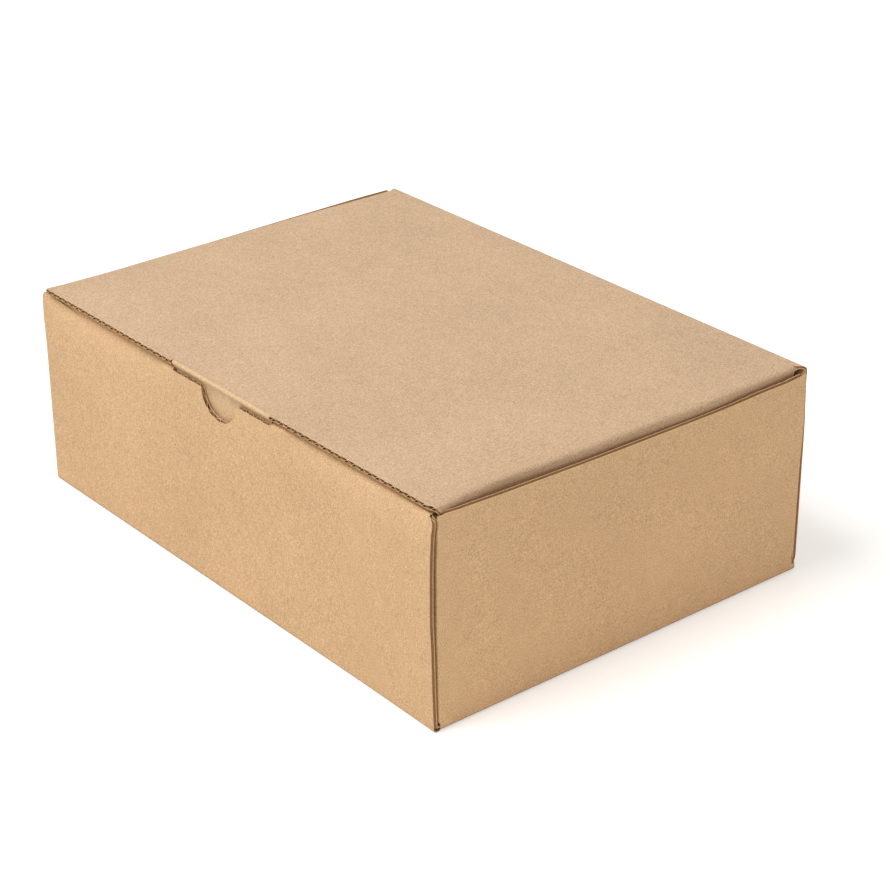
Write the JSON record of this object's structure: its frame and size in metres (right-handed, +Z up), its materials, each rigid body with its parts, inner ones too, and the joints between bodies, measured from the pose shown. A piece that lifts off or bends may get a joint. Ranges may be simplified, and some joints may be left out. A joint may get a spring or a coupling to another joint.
{
  "type": "shipping box",
  "caption": "Closed corrugated mailer box folded from one die-cut sheet, with a hinged tuck-in lid, a front locking tab and a thumb notch.",
  "frame": {"origin": "middle of the bottom face, on the surface that the box stands on", "axes": "+X along the front towards its right end, +Y from the front to the hinged back, +Z up"},
  "size_m": [0.365, 0.262, 0.127],
  "materials": {
    "kraft_front": "matt kraft liner",
    "kraft_lid": "matt kraft liner"
  },
  "bodies": {
    "tray": {"tray": "kraft_front"},
    "lid": {"lid": "kraft_lid"}
  },
  "joints": [
    {"name": "lid_hinge", "type": "hinge", "parent": "tray", "child": "lid", "pos_m": [0, 0.1296, 0.1256], "axis": [-1, 0, 0], "range_deg": [0, 180]}
  ]
}
